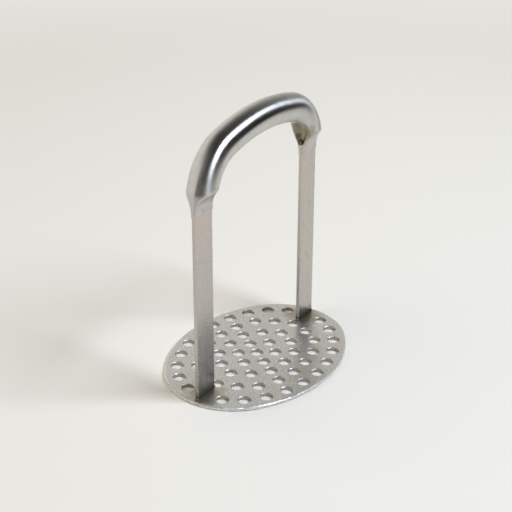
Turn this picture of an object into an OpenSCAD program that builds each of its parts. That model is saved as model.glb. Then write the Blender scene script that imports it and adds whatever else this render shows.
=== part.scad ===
// Potato masher, all of stainless steel. An oval plate with rings of round holes lies
// flat. Two flat legs stand on its long axis, and a bent round tube joins them as the
// handle. Each end of the tube is pressed flat between two round dies, which folds its
// inner side in and spreads its edges, and the leg's end sits in its mouth.
// X runs through both legs, Y runs across them and Z is up. The origin is the middle of
// the plate's underside. Every size is in millimetres and every angle in degrees.

/* [Overall] */
// Height from the plate's underside to the top of the handle
total_height = 150.5; // [135:0.5:175]
// Distance between the middles of the two legs
leg_spacing = 102.6; // [94:0.2:104]

/* [Plate] */
// Length of the oval plate, along the line of the legs
plate_length = 122.6; // [121:0.2:140]
// Width of the oval plate
plate_width = 92.4; // [84:0.2:110]
// Thickness of the plate
plate_thickness = 2; // [1.5:0.1:3]
// Radius on the plate's upper and lower rim edges
rim_round = 0.6; // [0.2:0.05:0.7]

/* [Holes] */
// Diameter of the mashing holes
hole_d = 7; // [4:0.1:8]
// Number of rings of holes round the middle hole
hole_rings = 4; // [2:1:4]
// Distance from the middles of the outermost holes to the rim
rim_margin = 6.8; // [6:0.1:9]
// Bevel on both edges of each hole
hole_bevel = 0.25; // [0.1:0.05:0.5]
// Least plate left between a hole and the foot of a leg
foot_margin = 0.3; // [0.2:0.1:1]

/* [Legs] */
// Width of a leg's flat strip
leg_width = 15.2; // [12:0.2:16]
// Thickness of a leg's flat strip
leg_thickness = 2; // [1.5:0.1:2.6]
// Radius on the long edges of the strip
leg_edge_round = 0.35; // [0.1:0.05:0.6]

/* [Handle] */
// Outer diameter of the handle tube
tube_d = 16; // [14:0.5:19]
// Wall thickness of the handle tube
tube_wall = 1; // [0.6:0.1:1.5]
// Radius of the tube's middle line at the two corners of the handle
corner_radius = 26; // [20:0.5:30]
// Radius of the tube's middle line over the grip
crown_radius = 129; // [110:1:180]

/* [Pressed ends] */
// Height from the springing of the handle's bend down to where the dies stop
press_drop = 4.2; // [3:0.1:6]
// Radius of the dies that press an end flat
press_radius = 12; // [10:0.5:16]
// Radius over the crease where the pressed faces meet the round tube
crease_soft = 1.5; // [0.5:0.1:2]
// Share of its lost thickness that the tube gains in width to each side
spread = 0.22; // [0.1:0.02:0.35]
// Radius of the nips that draw both edges in to the mouth
nip_radius = 30; // [20:1:40]
// Height of the nips' start above the dies' stop
nip_rise = 3; // [1:0.25:4]
// Depth of the fold on the inner side
fold_depth = 4; // [0:0.1:5]
// Width of the fold where the tube is round
fold_width = 10; // [8:0.5:12]
// Wall of the mouth around the leg
mouth_lip = 0.3; // [0.2:0.05:0.6]
// Length of the straight lip below the dies
mouth_length = 1.8; // [1:0.1:3]
// Depth that a leg goes into the pressed end, above the dies' stop
leg_entry = 2; // [1:0.25:3]
// Clearance round a leg's end in its mouth
mouth_clearance = 0.05; // [0:0.01:0.1]
// Steel left above a leg's end, below the hollow of the tube
mouth_web = 1.5; // [1:0.1:3]

/* [Welds] */
// Radius of the weld beads at the feet
foot_bead_radius = 1.3; // [0.8:0.1:1.8]
// Radius of the weld bead in the foot of a fold
fold_bead_radius = 1.5; // [1:0.1:2]

/* [Hidden] */
$fn = 96;

// Roundness of a mashing hole
hole_fn = 48;
// Far enough past a face for a clean cut
past = 1;
// Where one arc runs into the next, one of them is this much inside the other.
blend_step = 0.02;

// Worked-out places are rounded to a hundredth of a millimetre.
function rounded(value) = round(value * 100) / 100;

plate_half_length = plate_length / 2;
plate_half_width = plate_width / 2;
// The oval is a four-centred one: two end arcs and two side arcs, tangent where they meet.
oval_diagonal = norm([plate_half_length, plate_half_width]);
oval_excess = plate_half_length - plate_half_width;
end_radius = rounded((oval_diagonal - oval_excess) * oval_diagonal / (2 * plate_half_length));
side_radius = rounded((oval_diagonal + oval_excess) * oval_diagonal / (2 * plate_half_width));
end_center = plate_half_length - end_radius;
side_center = side_radius - plate_half_width;
// Half length of the stretch that the side arcs cover
side_reach = rounded(side_radius * end_center / norm([end_center, side_center]));

// Reach of each ring of holes, as a share of the outermost ring's
ring_reach = [0.245, 0.4925, 0.737, 1];
// How far each ring is drawn in between its six corners, as a share
ring_dip = [0, 0.058, 0.008, 0];
// How far the holes of each ring lie in and out by turns between those corners
ring_weave = [0, 0, 0.028, 0];
// The holes swing towards the plate's width, which evens their spacing on the oval.
hole_swing = 3;
// The outermost ring lies this much further from the rim at the plate's ends.
end_margin_extra = 0.8;
outer_ring_x = plate_half_length - rim_margin - end_margin_extra;
outer_ring_y = plate_half_width - rim_margin;

half_span = leg_spacing / 2;
tube_radius = tube_d / 2;
crown_top = total_height - tube_radius;
crown_center = crown_top - crown_radius;
corner_center = half_span - corner_radius;
corner_angle = acos(corner_center / (crown_radius - corner_radius));
spring_height = rounded(crown_center + (crown_radius - corner_radius) * sin(corner_angle));

die_height = spring_height - press_drop;
mouth_bottom = die_height - mouth_length;
mouth_half_thickness = leg_thickness / 2 + mouth_lip;
mouth_half_width = leg_width / 2 + mouth_lip;
leg_top = die_height + leg_entry;
hollow_bottom = leg_top + mouth_web;
nip_height = die_height + nip_rise;
// Softness of the crease between a spread edge and the nips
nip_soft = 0.6;
// Turn of the bend up to which the pressed end reaches, and how far the round tube laps it
end_turn = 64;
end_lap = 1;
// The fold starts a little over the leg's end and runs up to where the round tube begins.
// Both places are lengths along the middle line, from the springing of the bend.
fold_rise = 1;
fold_start = leg_top + fold_rise - spring_height;
fold_end = corner_radius * (end_turn - end_lap) * PI / 180;
// Lower down, the fold takes up this share of the pressed end's thickness.
fold_share = 0.9;
// Sections of a pressed end: points round each, and steps from the mouth to the round tube
end_fn = 48;
end_steps = 38;
hollow_fn = 24;
hollow_steps = 20;

// Plate ---------------------------------------------------------------------------------

// Half of a round plate's section out to radius r, with both rim edges rounded
module rim_section(r) {
    square([r - rim_round, plate_thickness]);
    translate([0, rim_round])
        square([r, plate_thickness - 2 * rim_round]);
    for (z = [rim_round, plate_thickness - rim_round])
        translate([r - rim_round, z])
            circle(r = rim_round, $fn = 32);
}

// Whole round plate of radius r
module disc(r) {
    rotate_extrude($fn = 180)
        rim_section(r);
}

module oval_plate() {
    intersection() {
        translate([0, -side_center, 0])
            disc(side_radius);
        translate([0, side_center, 0])
            disc(side_radius);
        translate([-side_reach, -plate_width, -past])
            cube([2 * side_reach, 2 * plate_width, plate_thickness + 2 * past]);
    }
    for (x = [-end_center - blend_step, end_center + blend_step])
        translate([x, 0, 0])
            disc(end_radius - blend_step);
}

// Middle of hole i of a ring. Each ring has six holes more than the one inside it.
function hole_place(ring, i) =
    let (
        turn = 60 * i / ring,
        swung = turn + hole_swing * sin(2 * turn),
        dip = ring_dip[ring - 1] * pow(sin(3 * turn), 2),
        weave = ring_weave[ring - 1] * sin(6 * turn) * sin(2 * turn),
        reach = ring_reach[ring - 1] * (1 - dip - weave)
    )
    [outer_ring_x * reach * cos(swung), outer_ring_y * reach * sin(swung)];

// A hole is left out where it would run under the foot of a leg.
function clears_feet(place) =
    let (
        beside_x = abs(abs(place.x) - half_span) - leg_width / 2,
        beside_y = abs(place.y) - leg_thickness / 2
    )
    max(beside_x, beside_y) > hole_d / 2 + foot_margin;

hole_places = concat(
    [[0, 0]],
    [for (ring = [1 : hole_rings], i = [0 : 6 * ring - 1]) hole_place(ring, i)]
);

module mashing_hole() {
    bevel_r = hole_d / 2 + hole_bevel;
    translate([0, 0, -past])
        cylinder(d = hole_d, h = plate_thickness + 2 * past, $fn = hole_fn);
    translate([0, 0, plate_thickness - hole_bevel])
        cylinder(r1 = hole_d / 2, r2 = bevel_r + hole_bevel, h = 2 * hole_bevel, $fn = hole_fn);
    translate([0, 0, -hole_bevel])
        cylinder(r1 = bevel_r + hole_bevel, r2 = hole_d / 2, h = 2 * hole_bevel, $fn = hole_fn);
}

module masher_plate() {
    color("darkgray")
        difference() {
            oval_plate();
            for (place = hole_places)
                if (clears_feet(place))
                    translate([place.x, place.y, 0])
                        mashing_hole();
        }
}

// Legs ----------------------------------------------------------------------------------

// Strip of the leg's section, grown all round by grow
module leg_strip(bottom, top, grow = 0) {
    edge = leg_edge_round + grow;
    half_w = leg_width / 2 + grow - edge;
    half_t = leg_thickness / 2 + grow - edge;
    translate([0, 0, bottom])
        linear_extrude(top - bottom) {
            square([2 * half_w, 2 * (half_t + edge)], center = true);
            square([2 * (half_w + edge), 2 * half_t], center = true);
            for (x = [-half_w, half_w], y = [-half_t, half_t])
                translate([x, y])
                    circle(r = edge, $fn = 32);
        }
}

module leg() {
    color("silver")
        leg_strip(plate_thickness, leg_top);
}

// Moves a piece made for the right leg, whose inner side faces -X, to a leg's place.
module at_right() {
    translate([half_span, 0, 0])
        children();
}

module at_left() {
    rotate([0, 0, 180])
        at_right()
            children();
}

module at_both_ends() {
    at_right() children();
    at_left() children();
}

// Handle --------------------------------------------------------------------------------

// Round bar of radius r along an arc in the XZ plane, from angle start through sweep
module bent_bar(center_x, center_z, bend, start, sweep, r) {
    translate([center_x, 0, center_z])
        rotate([90, 0, 0])
            rotate([0, 0, start])
                rotate_extrude(angle = sweep, $fn = 180)
                    translate([bend, 0])
                        circle(r = r, $fn = 64);
}

// The round part of the handle as a bar of radius r: the grip, and a corner on each side
// down to the pressed ends. The corners run a little way over the grip.
module handle_bar(r) {
    lap = 0.6;
    start = end_turn - end_lap;
    sweep = corner_angle + lap - start;
    bent_bar(0, crown_center, crown_radius, corner_angle, 180 - 2 * corner_angle, r);
    for (turn = [0, 180])
        rotate([0, 0, turn])
            bent_bar(corner_center, spring_height, corner_radius, start, sweep, r + blend_step);
}

// The smaller of two lengths, rounded over by soft where they are alike
function soft_min(a, b, soft) =
    let (share = max(0, min(1, 0.5 + (b - a) / (2 * soft))))
    b * (1 - share) + a * share - soft * share * (1 - share);

// Gap left at height z by a round die of this radius, which starts at height start
function die_gap(z, start, radius, gap) =
    let (rise = max(0, min(radius, z - start)))
    gap + radius - sqrt(pow(radius, 2) - pow(rise, 2));

// Half the tube's thickness and half its width at height z, after pressing
function half_thickness(z) = die_gap(z, die_height, press_radius, mouth_half_thickness);
function half_width(z) =
    let (spread_width = tube_radius + spread * max(0, tube_radius - half_thickness(z)))
    soft_min(spread_width, die_gap(z, nip_height, nip_radius, mouth_half_width), nip_soft);

// Depth of the fold at a length along the middle line, a height z and a distance y from
// the tube's middle plane. It is deepest near the leg and runs out slowly up the bend. The
// hollow's fold, inset inside the outer one, is deeper, wider and longer, so the wall
// stays thick.
function fold_at(along, z, y, inset) =
    let (
        share = (along - fold_start) / (fold_end - tube_wall + inset - fold_start),
        depth = fold_depth > 0 ? fold_depth + inset / 2 : 0,
        reach = min(fold_share * half_thickness(z), fold_width / 2) + inset / 2,
        is_folded = share > 0 && share < 1 && y < reach
    )
    is_folded ? depth * sin(180 * pow(share, 0.7)) * cos(90 * y / reach) : 0;

// Point of the pressed end at angle turn round its middle line, where that line has bent
// through bend. Below the bend, it is drop under the springing. The surface lies inset
// inside the outer one.
function end_point(bend, drop, turn, inset) =
    let (
        middle_z = spring_height - drop + corner_radius * sin(bend),
        round_x = (half_width(middle_z) - inset) * cos(turn),
        round_y = (tube_radius - inset) * abs(sin(turn)),
        z = middle_z + round_x * sin(bend),
        flat_y = half_thickness(z) - inset,
        y = soft_min(round_y, flat_y, min(crease_soft, flat_y)),
        along = corner_radius * bend * PI / 180 - drop,
        fold = round_x < 0 ? fold_at(along, z, y, inset) : 0,
        reach = corner_radius + round_x + fold
    )
    [
        reach * cos(bend) - corner_radius,
        y * sign(sin(turn)),
        spring_height - drop + reach * sin(bend)
    ];

// Pressed end as a loft through sections of around points each, in steps from the mouth up
// to the round tube, of which only the lowest used steps are made. The steps are shorter
// near the mouth, and the points lie closer together on both edges than on the broad faces.
module end_loft(inset, around, steps, used) {
    crowding = 17;
    straight = spring_height - mouth_bottom;
    bent = corner_radius * end_turn * PI / 180;
    points = [
        for (step = [0 : used])
            let (
                along = (straight + bent) * pow(step / steps, 1.25),
                drop = max(0, straight - along),
                bend = max(0, along - straight) / corner_radius * 180 / PI
            )
            for (i = [0 : around - 1])
                let (even = 360 * i / around, turn = even - crowding * sin(2 * even))
                end_point(bend, drop, turn, inset)
    ];
    sides = [
        for (step = [0 : used - 1], i = [0 : around - 1])
            let (a = step * around + i, b = step * around + (i + 1) % around)
            [a, a + around, b + around, b]
    ];
    bottom = [for (i = [0 : around - 1]) i];
    top = [for (i = [around - 1 : -1 : 0]) used * around + i];
    polyhedron(points, concat([bottom], sides, [top]), convexity = 4);
}

// Outside of a pressed end
module pressed_end(used = end_steps) {
    end_loft(0, end_fn, end_steps, used);
}

// Hollow of the tube, which follows its outside one wall further in
module tube_hollow() {
    handle_bar(tube_radius - tube_wall);
    at_both_ends()
        difference() {
            end_loft(tube_wall, hollow_fn, hollow_steps, hollow_steps);
            translate([-tube_d, -tube_d, hollow_bottom - tube_d])
                cube([2 * tube_d, 2 * tube_d, tube_d]);
        }
}

module handle_tube() {
    color("silver")
        difference() {
            union() {
                handle_bar(tube_radius);
                at_both_ends()
                    pressed_end();
            }
            at_both_ends()
                leg_strip(mouth_bottom - past, leg_top, mouth_clearance);
            tube_hollow();
        }
}

// Welds ---------------------------------------------------------------------------------

// Beads at both narrow edges of a foot, in the corner of leg and plate
module foot_welds() {
    color("sienna")
        difference() {
            for (x = [-leg_width / 2, leg_width / 2])
                translate([x, 0, plate_thickness])
                    sphere(r = foot_bead_radius, $fn = 32);
            leg_strip(0, leg_top);
            translate([-leg_width, -leg_width, -plate_thickness])
                cube([2 * leg_width, 2 * leg_width, 2 * plate_thickness]);
        }
}

// Bead in the foot of the fold, where the flattened tube closes over the leg. Only the
// lower part of the pressed end comes near it.
module handle_weld() {
    bead_depth = 1.25 * fold_bead_radius;
    bead_rise = fold_rise + fold_bead_radius;
    color("sienna")
        difference() {
            translate([bead_depth - mouth_half_width, 0, leg_top + bead_rise])
                sphere(r = fold_bead_radius, $fn = 48);
            pressed_end(ceil(0.45 * end_steps));
        }
}

masher_plate();
at_left() leg();  // left_leg
at_right() leg();  // right_leg
handle_tube();
at_left() foot_welds();  // left_foot_welds
at_right() foot_welds();  // right_foot_welds
at_left() handle_weld();  // left_handle_weld
at_right() handle_weld();  // right_handle_weld
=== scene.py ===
# Potato masher of stainless steel: the finish of every piece, the floor, light and camera.
import math

import bpy
from mathutils import Matrix, Vector


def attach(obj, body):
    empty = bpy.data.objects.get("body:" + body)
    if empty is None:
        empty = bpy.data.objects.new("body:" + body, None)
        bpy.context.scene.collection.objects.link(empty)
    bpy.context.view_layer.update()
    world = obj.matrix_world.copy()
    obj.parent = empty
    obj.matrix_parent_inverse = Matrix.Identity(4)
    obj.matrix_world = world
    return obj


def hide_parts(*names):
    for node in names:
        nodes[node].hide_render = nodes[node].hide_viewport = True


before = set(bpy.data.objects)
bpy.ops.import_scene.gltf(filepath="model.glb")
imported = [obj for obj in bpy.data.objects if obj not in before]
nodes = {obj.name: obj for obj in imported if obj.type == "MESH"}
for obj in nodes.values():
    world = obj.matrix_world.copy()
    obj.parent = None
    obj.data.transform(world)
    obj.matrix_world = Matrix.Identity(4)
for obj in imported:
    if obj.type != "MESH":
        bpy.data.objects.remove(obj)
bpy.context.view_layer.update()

# Colours are linear. Sizes are in metres and angles in degrees.
FLOOR_COLOUR = (0.82, 0.79, 0.735, 1)
FAR_FLOOR_COLOUR = (0.805, 0.795, 0.755, 1)
FLAG_COLOUR = (0.01, 0.01, 0.012, 1)
WALL_COLOUR = (1.00, 0.98, 0.92, 1)
KEY_COLOUR = (0.90, 1.00, 1.14)
FILL_COLOUR = (1.09, 1.00, 0.86)
PLATE_COLOUR = (0.96, 0.94, 0.90, 1)
PLATE_DARK = (0.60, 0.585, 0.56, 1)
LEG_COLOUR = (0.54, 0.515, 0.48, 1)
LEG_DARK = (0.47, 0.43, 0.40, 1)
TUBE_COLOUR = (0.63, 0.62, 0.60, 1)
TUBE_DARK = (0.50, 0.48, 0.45, 1)
WELD_COLOUR = (0.31, 0.25, 0.16, 1)
# Painted shade on the plate's hole walls; in the weld beads, the dark of burnt steel
PAINTED_HOLE_SHADE_AND_WELD_BURN = (0.12, 0.10, 0.08, 1)
BROWN_TINT = (0.40, 0.34, 0.22, 1)
# Painted shade: the near-black laid on the leg feet and in the crevices of the tube's folds
PAINTED_SHADE = (0.07, 0.06, 0.05, 1)
PINK_TINT = (0.60, 0.51, 0.47, 1)

# The plate and the handle's middle line, as the part's source has them
PLATE_HALF_LENGTH = 0.0613
PLATE_HALF_WIDTH = 0.0462
TUBE_RADIUS = 0.008
CROWN_RADIUS = 0.129
CORNER_RADIUS = 0.026
HALF_SPAN = 0.0513
# The tube is round from this turn of its bend up.
ROUND_TURN = 28.9
# Points further in than this share of the radius lie in a fold.
ROUND_SHARE = 0.985
# Longer than half the middle line, so that the map falls from left to right all the way
MAP_OFFSET = 0.2
TUBE_MAP = "tube_map"


# Nodes ----------------------------------------------------------------------------------


def new_group(name, takes, gives):
    """An empty node group with named sockets; returns its tree, its inputs and its outputs."""
    group = bpy.data.node_groups.new(name, "ShaderNodeTree")
    for socket, kind in takes:
        group.interface.new_socket(name=socket, in_out="INPUT", socket_type=kind)
    for socket, kind in gives:
        group.interface.new_socket(name=socket, in_out="OUTPUT", socket_type=kind)
    taken = group.nodes.new("NodeGroupInput")
    given = group.nodes.new("NodeGroupOutput")
    return group, taken.outputs, given.inputs


def join(tree, source, target):
    """Links a socket to another, or sets a plain value on it."""
    if isinstance(source, bpy.types.NodeSocket):
        tree.links.new(source, target)
    else:
        target.default_value = source


def calculate(tree, operation, *values, clamp=False):
    """Sum, product or other operation on sockets or numbers."""
    node = tree.nodes.new("ShaderNodeMath")
    node.operation = operation
    node.use_clamp = clamp
    for value, socket in zip(values, node.inputs):
        join(tree, value, socket)
    return node.outputs["Value"]


def combine(tree, operation, *vectors):
    """Vector operation; returns its outputs, of which Vector or Value holds the result."""
    node = tree.nodes.new("ShaderNodeVectorMath")
    node.operation = operation
    for vector, socket in zip(vectors, node.inputs):
        join(tree, vector, socket)
    return node.outputs


def coordinate(tree, vector, axis):
    """One coordinate of a vector."""
    parts = tree.nodes.new("ShaderNodeSeparateXYZ")
    join(tree, vector, parts.inputs["Vector"])
    return parts.outputs[axis]


def stretched(tree, place, stretch):
    """The place with each axis multiplied by a number of its own."""
    mapping = tree.nodes.new("ShaderNodeMapping")
    mapping.inputs["Scale"].default_value = stretch
    join(tree, place, mapping.inputs["Vector"])
    return mapping.outputs["Vector"]


def noise(tree, place, scale, detail):
    """Smooth noise from 0 to 1, with scale features a metre."""
    node = tree.nodes.new("ShaderNodeTexNoise")
    node.inputs["Scale"].default_value = scale
    node.inputs["Detail"].default_value = detail
    join(tree, place, node.inputs["Vector"])
    return node.outputs["Fac"]


def spread(tree, value, low, high, start=0.0, end=1.0):
    """Stretches the values between low and high over start to end, smoothly and clamped."""
    node = tree.nodes.new("ShaderNodeMapRange")
    node.interpolation_type = "SMOOTHSTEP"
    join(tree, value, node.inputs["Value"])
    for socket, number in (("From Min", low), ("From Max", high),
                           ("To Min", start), ("To Max", end)):
        node.inputs[socket].default_value = number
    return node.outputs["Result"]


def blend(tree, share, first, second):
    """Colour that goes from the first to the second as the share goes from 0 to 1."""
    node = tree.nodes.new("ShaderNodeMix")
    node.data_type = "RGBA"
    join(tree, share, node.inputs["Factor"])
    join(tree, first, node.inputs["A"])
    join(tree, second, node.inputs["B"])
    return node.outputs["Result"]


def tint(tree, base, colour, mask, strength):
    """The base with a colour over it where the mask is, at a strength from 0 to 1."""
    return blend(tree, calculate(tree, "MULTIPLY", mask, strength), base, colour)


def bump(tree, relief, strength, depth):
    """Normal of a surface whose relief goes from 0 to 1 over a depth."""
    node = tree.nodes.new("ShaderNodeBump")
    node.inputs["Distance"].default_value = depth
    join(tree, strength, node.inputs["Strength"])
    join(tree, relief, node.inputs["Height"])
    return node.outputs["Normal"]


# Camera and studio ---------------------------------------------------------------------


def add_camera():
    """A long lens in front of the left leg, well above the handle."""
    place = (-0.51477, -0.32953, 0.36467)
    heading = math.radians(57.303)
    pitch = math.radians(26.298)
    roll = math.radians(0.202)
    forward = Vector((math.sin(heading) * math.cos(pitch),
                      math.cos(heading) * math.cos(pitch),
                      -math.sin(pitch)))
    level = Vector((math.cos(heading), -math.sin(heading), 0))
    upright = level.cross(forward)
    right = math.cos(roll) * level + math.sin(roll) * upright
    up = right.cross(forward)
    data = bpy.data.cameras.new("camera")
    data.sensor_width = 36
    data.lens = 88.156
    data.clip_end = 50
    camera = bpy.data.objects.new("camera", data)
    turn = Matrix((right, up, -forward)).transposed().to_4x4()
    camera.matrix_world = Matrix.Translation(place) @ turn
    bpy.context.scene.collection.objects.link(camera)
    bpy.context.scene.camera = camera


def add_softbox(name, place, aim, width, height, power, colour):
    """Rectangular lamp that points from its place at the aim."""
    data = bpy.data.lights.new(name, "AREA")
    data.shape = "RECTANGLE"
    data.size = width
    data.size_y = height
    data.energy = power
    data.color = colour
    lamp = bpy.data.objects.new(name, data)
    lamp.location = place
    way = Vector(aim) - Vector(place)
    lamp.rotation_euler = way.to_track_quat("-Z", "Y").to_euler()
    bpy.context.scene.collection.objects.link(lamp)
    return lamp


def stage_card(name, corners, colour):
    """Matt flat card of the studio, which is no part of the object."""
    mesh = bpy.data.meshes.new(name)
    mesh.from_pydata(corners, [], [tuple(range(len(corners)))])
    card = bpy.data.objects.new(name, mesh)
    bpy.context.scene.collection.objects.link(card)
    material = bpy.data.materials.new(name)
    material.use_nodes = True
    shader = material.node_tree.nodes["Principled BSDF"]
    shader.inputs["Base Color"].default_value = colour
    shader.inputs["Roughness"].default_value = 0.9
    shader.inputs["Specular IOR Level"].default_value = 0.1
    mesh.materials.append(material)
    return card


def add_flag(name, start, end, top):
    """Black card that stands from one floor point to another, out of the camera's sight."""
    corners = [(*start, 0), (*end, 0), (*end, top), (*start, top)]
    stage_card(name, corners, FLAG_COLOUR).visible_camera = False


def keep_far_floor_pale(material):
    """Far from the lamps the floor keeps its pale tone; near the object it takes the shadows."""
    lit_within, pale_from = 0.5, 0.95
    tree = material.node_tree
    shader = tree.nodes["Principled BSDF"]
    place = tree.nodes.new("ShaderNodeTexCoord").outputs["Object"]
    distance = combine(tree, "LENGTH", place)["Value"]
    far = spread(tree, distance, lit_within, pale_from)
    path = tree.nodes.new("ShaderNodeLightPath").outputs
    seen = calculate(tree, "ADD", path["Is Camera Ray"], path["Is Glossy Ray"])
    seen = calculate(tree, "ADD", seen, path["Is Transmission Ray"], clamp=True)
    glow = tree.nodes.new("ShaderNodeEmission")
    glow.inputs["Color"].default_value = FAR_FLOOR_COLOUR
    mix = tree.nodes.new("ShaderNodeMixShader")
    join(tree, calculate(tree, "MULTIPLY", far, seen), mix.inputs["Fac"])
    join(tree, shader.outputs["BSDF"], mix.inputs[1])
    join(tree, glow.outputs["Emission"], mix.inputs[2])
    join(tree, mix.outputs["Shader"], tree.nodes["Material Output"].inputs["Surface"])


def add_room():
    """Pale walls, under a ceiling that darkens towards the front right."""
    dark_way = (0.15, -0.30, 0.94)
    pale_up_to, dark_from = 0.25, 0.80
    wall_strength, ceiling_strength = 0.92, 0.03
    world = bpy.data.worlds.new("studio")
    world.use_nodes = True
    tree = world.node_tree
    background = tree.nodes["Background"]
    background.inputs["Color"].default_value = WALL_COLOUR
    way = tree.nodes.new("ShaderNodeTexCoord").outputs["Generated"]
    lean = combine(tree, "DOT_PRODUCT", way, dark_way)["Value"]
    strength = spread(tree, lean, pale_up_to, dark_from, wall_strength, ceiling_strength)
    join(tree, strength, background.inputs["Strength"])
    bpy.context.scene.world = world


def add_studio():
    """Pale floor and room, flags, a key light from the front right and a fill from above."""
    reach, level = 6, -0.0001
    corners = [(-reach, -reach, level), (reach, -reach, level),
               (reach, reach, level), (-reach, reach, level)]
    floor = stage_card("floor", corners, FLOOR_COLOUR)
    keep_far_floor_pale(floor.data.materials[0])
    # The flags in front and to the right give the round steel its dark bands.
    left, front, right = (-1.41, 0.44), (-0.315, -1.25), (1.26, -0.225)
    add_flag("front_flag", left, front, 0.78)
    add_flag("right_flag", front, right, 0.67)
    add_softbox("key", place=(0.33, -1.27, 1.47), aim=(0, 0, 0.07), width=1.0, height=0.72,
                power=31, colour=KEY_COLOUR)
    fill = add_softbox("fill", place=(-0.6, 0.9, 2.7), aim=(0, 0, 0), width=3, height=3,
                       power=30, colour=FILL_COLOUR)
    fill.visible_glossy = False
    add_room()


# Tube ------------------------------------------------------------------------------------


class MiddleLine:
    """The handle's middle line: two uprights, two corners and a crown, in the XZ plane."""

    def __init__(self, top):
        self.crown_center = top - TUBE_RADIUS - CROWN_RADIUS
        self.corner_x = HALF_SPAN - CORNER_RADIUS
        self.corner_turn = math.acos(self.corner_x / (CROWN_RADIUS - CORNER_RADIUS))
        self.spring = (self.crown_center
                       + (CROWN_RADIUS - CORNER_RADIUS) * math.sin(self.corner_turn))

    def at(self, point):
        """Length along the line, turn of the bend and way out from the line, at a point."""
        side = 1 if point.x >= 0 else -1
        x = abs(point.x)
        if point.z <= self.spring:
            return point.z - self.spring, 0, Vector((side * (x - HALF_SPAN), point.y, 0))
        turn = math.atan2(point.z - self.spring, x - self.corner_x)
        if turn < self.corner_turn:
            middle = Vector((self.corner_x + CORNER_RADIUS * math.cos(turn), 0,
                             self.spring + CORNER_RADIUS * math.sin(turn)))
            along = CORNER_RADIUS * turn
        else:
            turn = math.atan2(point.z - self.crown_center, x)
            middle = Vector((CROWN_RADIUS * math.cos(turn), 0,
                             self.crown_center + CROWN_RADIUS * math.sin(turn)))
            along = CORNER_RADIUS * self.corner_turn + CROWN_RADIUS * (turn - self.corner_turn)
        out = Vector((x, point.y, point.z)) - middle
        return along, turn, Vector((side * out.x, out.y, out.z))


def smooth_copy(source, name):
    """A copy of a node with its facets joined and shaded smooth up to its real edges."""
    merge_distance = 0.000002
    sharpest_smooth_edge = math.radians(35)
    piece = source.copy()
    piece.data = source.data.copy()
    piece.name = name
    bpy.context.scene.collection.objects.link(piece)
    bpy.ops.object.select_all(action="DESELECT")
    piece.select_set(True)
    bpy.context.view_layer.objects.active = piece
    bpy.ops.object.mode_set(mode="EDIT")
    bpy.ops.mesh.select_all(action="SELECT")
    bpy.ops.mesh.remove_doubles(threshold=merge_distance)
    bpy.ops.object.mode_set(mode="OBJECT")
    bpy.ops.object.shade_smooth_by_angle(angle=sharpest_smooth_edge)
    return piece


def shade_as_tube(mesh):
    """Exact round shading where the tube is round, and a map that runs along the tube."""
    line = MiddleLine(max(vertex.co.z for vertex in mesh.vertices))
    places = [line.at(vertex.co) for vertex in mesh.vertices]
    while mesh.uv_layers:
        mesh.uv_layers.remove(mesh.uv_layers[0])
    tube_map = mesh.uv_layers.new(name=TUBE_MAP)
    normals = []
    for face in mesh.polygons:
        for loop in face.loop_indices:
            vertex = mesh.loops[loop].vertex_index
            along, turn, out = places[vertex]
            is_round = (turn >= math.radians(ROUND_TURN)
                        and out.length > ROUND_SHARE * TUBE_RADIUS)
            # A normal of zero leaves the shading as it is.
            normals.append(out.normalized() if is_round else Vector((0, 0, 0)))
            # The tiny steps where two bends meet take no part in the map's direction.
            is_step = is_round and abs(face.normal.dot(out)) < 0.5 * out.length
            side = 1 if mesh.vertices[vertex].co.x >= 0 else -1
            tube_map.data[loop].uv = (0, 0) if is_step else (side * (along - MAP_OFFSET), out.y)
    mesh.normals_split_custom_set(normals)


def add_smooth_tube():
    """The handle tube that is seen, in place of the faceted node."""
    tube = smooth_copy(nodes["handle_tube"], "smooth_tube")
    shade_as_tube(tube.data)
    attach(tube, "root")
    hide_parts("handle_tube")
    return tube


# Materials -------------------------------------------------------------------------------


def make_stain_and_shade_spot_group():
    """A soft round spot with an uneven edge, as a mask, round a middle and its mirror twin; it
    places real stains and painted shade.
    """
    takes = (("Place", "NodeSocketVector"), ("Middle", "NodeSocketVector"),
             ("Reach", "NodeSocketFloat"))
    group, taken, given = new_group("stain_and_shade_spot", takes, (("Mask", "NodeSocketFloat"),))
    mirrored = combine(group, "ABSOLUTE", taken["Place"])["Vector"]
    gap = combine(group, "DISTANCE", mirrored, taken["Middle"])["Value"]
    share = calculate(group, "DIVIDE", gap, taken["Reach"])
    # The noise moves the edge by up to a third of the reach to either side.
    uneven = calculate(group, "MULTIPLY_ADD", noise(group, taken["Place"], 260, 3), 0.7, -0.35)
    edge = calculate(group, "ADD", share, uneven)
    join(group, spread(group, edge, 0.35, 1.0, 1.0, 0.0), given["Mask"])
    return group


def make_grain_group():
    """Brushed grain: fine lines that differ in strength from place to place."""
    gives = (("Lines", "NodeSocketFloat"), ("Patches", "NodeSocketFloat"),
             ("Normal", "NodeSocketVector"))
    takes = (("Place", "NodeSocketVector"), ("Relief", "NodeSocketFloat"))
    group, taken, given = new_group("grain", takes, gives)
    lines = spread(group, noise(group, taken["Place"], 1.0, 3), 0.3, 0.7)
    # A patch takes in about nine lines.
    patches = spread(group, noise(group, taken["Place"], 0.11, 2), 0.35, 0.65)
    join(group, lines, given["Lines"])
    join(group, patches, given["Patches"])
    join(group, bump(group, lines, taken["Relief"], 0.00002), given["Normal"])
    return group


STAIN_AND_SHADE_SPOT = make_stain_and_shade_spot_group()
GRAIN = make_grain_group()


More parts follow.
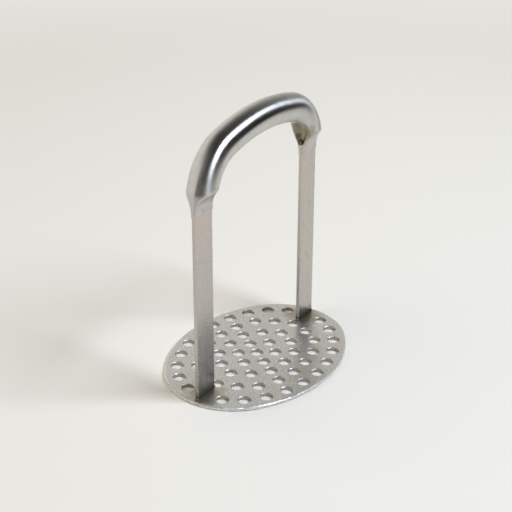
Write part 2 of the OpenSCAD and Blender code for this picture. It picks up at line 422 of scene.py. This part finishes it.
def stain_and_shade_spot(tree, place, middle, reach):
    """Mask of a spot round a middle, and of its twin on the other half, for real stains and for
    painted shade.
    """
    node = tree.nodes.new("ShaderNodeGroup")
    node.node_tree = STAIN_AND_SHADE_SPOT
    join(tree, place, node.inputs["Place"])
    join(tree, middle, node.inputs["Middle"])
    join(tree, reach, node.inputs["Reach"])
    return node.outputs["Mask"]


def grain(tree, place, density, relief):
    """Grain with so many lines a metre along each axis of the place."""
    node = tree.nodes.new("ShaderNodeGroup")
    node.node_tree = GRAIN
    join(tree, stretched(tree, place, density), node.inputs["Place"])
    join(tree, relief, node.inputs["Relief"])
    return node.outputs


def new_steel(name):
    """A bare metal with its tree, its shader and the place on the piece."""
    material = bpy.data.materials.new(name)
    material.use_nodes = True
    tree = material.node_tree
    shader = tree.nodes["Principled BSDF"]
    shader.inputs["Metallic"].default_value = 1
    place = tree.nodes.new("ShaderNodeTexCoord").outputs["Object"]
    return material, tree, shader, place


def make_plate_steel():
    """Matt sheet with a fine salt-and-pepper mottle, duller in its holes, whose walls carry
    painted shade.
    """
    hole_zone = 0.96
    foot, foot_reach = (HALF_SPAN, 0, 0.0015), 0.014
    material, tree, shader, place = new_steel("plate_steel")
    # Speckles of about 1 mm under clouds of about 17 mm
    mottle = spread(tree, noise(tree, place, 1000, 3), 0.36, 0.64)
    clouds = noise(tree, place, 60, 2)
    uneven = calculate(tree, "MULTIPLY_ADD", clouds, 0.5,
                       calculate(tree, "MULTIPLY", mottle, 0.6), clamp=True)
    base = blend(tree, uneven, PLATE_DARK, PLATE_COLOUR)
    facing = tree.nodes.new("ShaderNodeNewGeometry").outputs["Normal"]
    level = calculate(tree, "ABSOLUTE", coordinate(tree, facing, "Z"))
    edge = spread(tree, level, 0.6, 0.95, 1.0, 0.0)
    # The reach is 1 on the oval's rim, and the holes lie within the hole zone.
    shrink = (1 / PLATE_HALF_LENGTH, 1 / PLATE_HALF_WIDTH, 0)
    reach = combine(tree, "LENGTH", combine(tree, "MULTIPLY", place, shrink)["Vector"])["Value"]
    # Painted shade: the hole walls are darkened halfway to a near-black brown.
    painted_hole_shade = calculate(tree, "MULTIPLY", edge, calculate(tree, "LESS_THAN", reach, hole_zone))
    base = tint(tree, base, PAINTED_HOLE_SHADE_AND_WELD_BURN, painted_hole_shade, 0.5)
    weld = stain_and_shade_spot(tree, place, foot, foot_reach)
    base = tint(tree, base, BROWN_TINT, weld, 0.75)
    join(tree, base, shader.inputs["Base Color"])
    rough = calculate(tree, "MULTIPLY_ADD", mottle, -0.10, 0.44)
    rough = calculate(tree, "MULTIPLY_ADD", edge, 0.14, rough)
    join(tree, rough, shader.inputs["Roughness"])
    join(tree, bump(tree, mottle, 0.25, 0.00003), shader.inputs["Normal"])
    return material


def scratches(tree, place):
    """A few thin curved scratches that cross the broad faces, as a mask."""
    shifted = tree.nodes.new("ShaderNodeMapping")
    shifted.inputs["Location"].default_value = (0.09, 0, 0.06)
    join(tree, place, shifted.inputs["Vector"])
    wave = tree.nodes.new("ShaderNodeTexWave")
    wave.wave_type = "RINGS"
    wave.rings_direction = "Y"
    for socket, number in (("Scale", 55.0), ("Distortion", 3.0), ("Detail", 2.0),
                           ("Detail Scale", 0.4)):
        wave.inputs[socket].default_value = number
    join(tree, shifted.outputs["Vector"], wave.inputs["Vector"])
    thin = spread(tree, wave.outputs["Fac"], 0.93, 1.0)
    where = spread(tree, noise(tree, place, 90, 2), 0.5, 0.62)
    return calculate(tree, "MULTIPLY", thin, where)


def make_leg_steel():
    """Satin strip with grain along it, thin scratches, heat tint at its top, and painted shade
    and reflection darkening its foot.
    """
    top_tint_from, top_tint_full = 0.075, 0.105
    foot_shade_full, left_shade_end, foot_shade_end = 0.002, 0.036, 0.010
    material, tree, shader, place = new_steel("leg_steel")
    lines = grain(tree, place, (2600, 2600, 70), 0.15)
    uneven = calculate(tree, "MULTIPLY_ADD", lines["Lines"], 0.12,
                       calculate(tree, "MULTIPLY", lines["Patches"], 0.25))
    base = blend(tree, uneven, LEG_COLOUR, LEG_DARK)
    marks = scratches(tree, place)
    base = tint(tree, base, LEG_DARK, marks, 0.5)
    up = coordinate(tree, place, "Z")
    base = tint(tree, base, PINK_TINT, spread(tree, up, top_tint_from, top_tint_full), 0.5)
    # Painted shade and reflection of the plate: the left leg is darkened further up than the
    # right one.
    is_left = calculate(tree, "LESS_THAN", coordinate(tree, place, "X"), 0)
    left = spread(tree, up, 2 * foot_shade_full, left_shade_end, 0.5, 0.0)
    base = tint(tree, base, PAINTED_SHADE, left, is_left)
    # Painted shade: both feet go almost black at the very bottom, fading out by 10 mm up.
    foot = spread(tree, up, foot_shade_full, foot_shade_end, 0.9, 0.0)
    base = blend(tree, foot, base, PAINTED_SHADE)
    join(tree, base, shader.inputs["Base Color"])
    rough = calculate(tree, "MULTIPLY_ADD", lines["Lines"], 0.05, 0.24)
    rough = calculate(tree, "MULTIPLY_ADD", marks, 0.12, rough)
    join(tree, rough, shader.inputs["Roughness"])
    join(tree, lines["Normal"], shader.inputs["Normal"])
    return material


def make_tube_steel():
    """Bright tube brushed round its section, tinted brown by the welding in its folds, with
    painted shade in the crevice at each fold's foot.
    """
    fold, fold_reach = (0.0455, 0, 0.1208), 0.0105
    fold_foot, foot_reach = (0.0450, 0, 0.1145), 0.0035
    end_tint_full, end_tint_end = 0.112, 0.130
    material, tree, shader, place = new_steel("tube_steel")
    tube_map = tree.nodes.new("ShaderNodeUVMap")
    tube_map.uv_map = TUBE_MAP
    lines = grain(tree, tube_map.outputs["UV"], (2400, 160, 1), 0.08)
    uneven = calculate(tree, "MULTIPLY_ADD", lines["Lines"], 0.25,
                       calculate(tree, "MULTIPLY", lines["Patches"], 0.15))
    base = blend(tree, uneven, TUBE_COLOUR, TUBE_DARK)
    up = coordinate(tree, place, "Z")
    ends = spread(tree, up, end_tint_full, end_tint_end, 0.3, 0.0)
    base = blend(tree, ends, base, PINK_TINT)
    brown = stain_and_shade_spot(tree, place, fold, fold_reach)
    base = tint(tree, base, BROWN_TINT, brown, 0.8)
    # Painted shade: a slight darkening in the crevice at the foot of each fold.
    fold_crevice_shade = stain_and_shade_spot(tree, place, fold_foot, foot_reach)
    base = tint(tree, base, PAINTED_SHADE, fold_crevice_shade, 0.2)
    join(tree, base, shader.inputs["Base Color"])
    rough = calculate(tree, "MULTIPLY_ADD", lines["Patches"], 0.04, 0.30)
    rough = calculate(tree, "MULTIPLY_ADD", brown, 0.12, rough)
    join(tree, rough, shader.inputs["Roughness"])
    join(tree, lines["Normal"], shader.inputs["Normal"])
    shader.inputs["Anisotropic"].default_value = 0.9
    tangent = tree.nodes.new("ShaderNodeTangent")
    tangent.direction_type = "UV_MAP"
    tangent.uv_map = TUBE_MAP
    join(tree, tangent.outputs["Tangent"], shader.inputs["Tangent"])
    return material


def make_weld_steel():
    """Small lumpy beads, burnt brown."""
    material, tree, shader, place = new_steel("weld_steel")
    lumps = noise(tree, place, 1400, 3)
    base = blend(tree, spread(tree, lumps, 0.35, 0.7), PAINTED_HOLE_SHADE_AND_WELD_BURN, WELD_COLOUR)
    join(tree, base, shader.inputs["Base Color"])
    join(tree, spread(tree, lumps, 0.3, 0.7, 0.55, 0.4), shader.inputs["Roughness"])
    join(tree, bump(tree, lumps, 0.5, 0.0001), shader.inputs["Normal"])
    return material


def dress(piece, material):
    """Gives the whole piece one material."""
    materials = piece.data.materials
    if not materials:
        materials.append(material)
    for slot in range(len(materials)):
        materials[slot] = material


add_camera()
add_studio()
tube = add_smooth_tube()
tube_steel = make_tube_steel()
leg_steel = make_leg_steel()
weld_steel = make_weld_steel()
dress(nodes["masher_plate"], make_plate_steel())
for side in ("left", "right"):
    dress(nodes[side + "_leg"], leg_steel)
    dress(nodes[side + "_foot_welds"], weld_steel)
    dress(nodes[side + "_handle_weld"], weld_steel)
dress(nodes["handle_tube"], tube_steel)
dress(tube, tube_steel)

bpy.context.scene.view_settings.view_transform = "Standard"
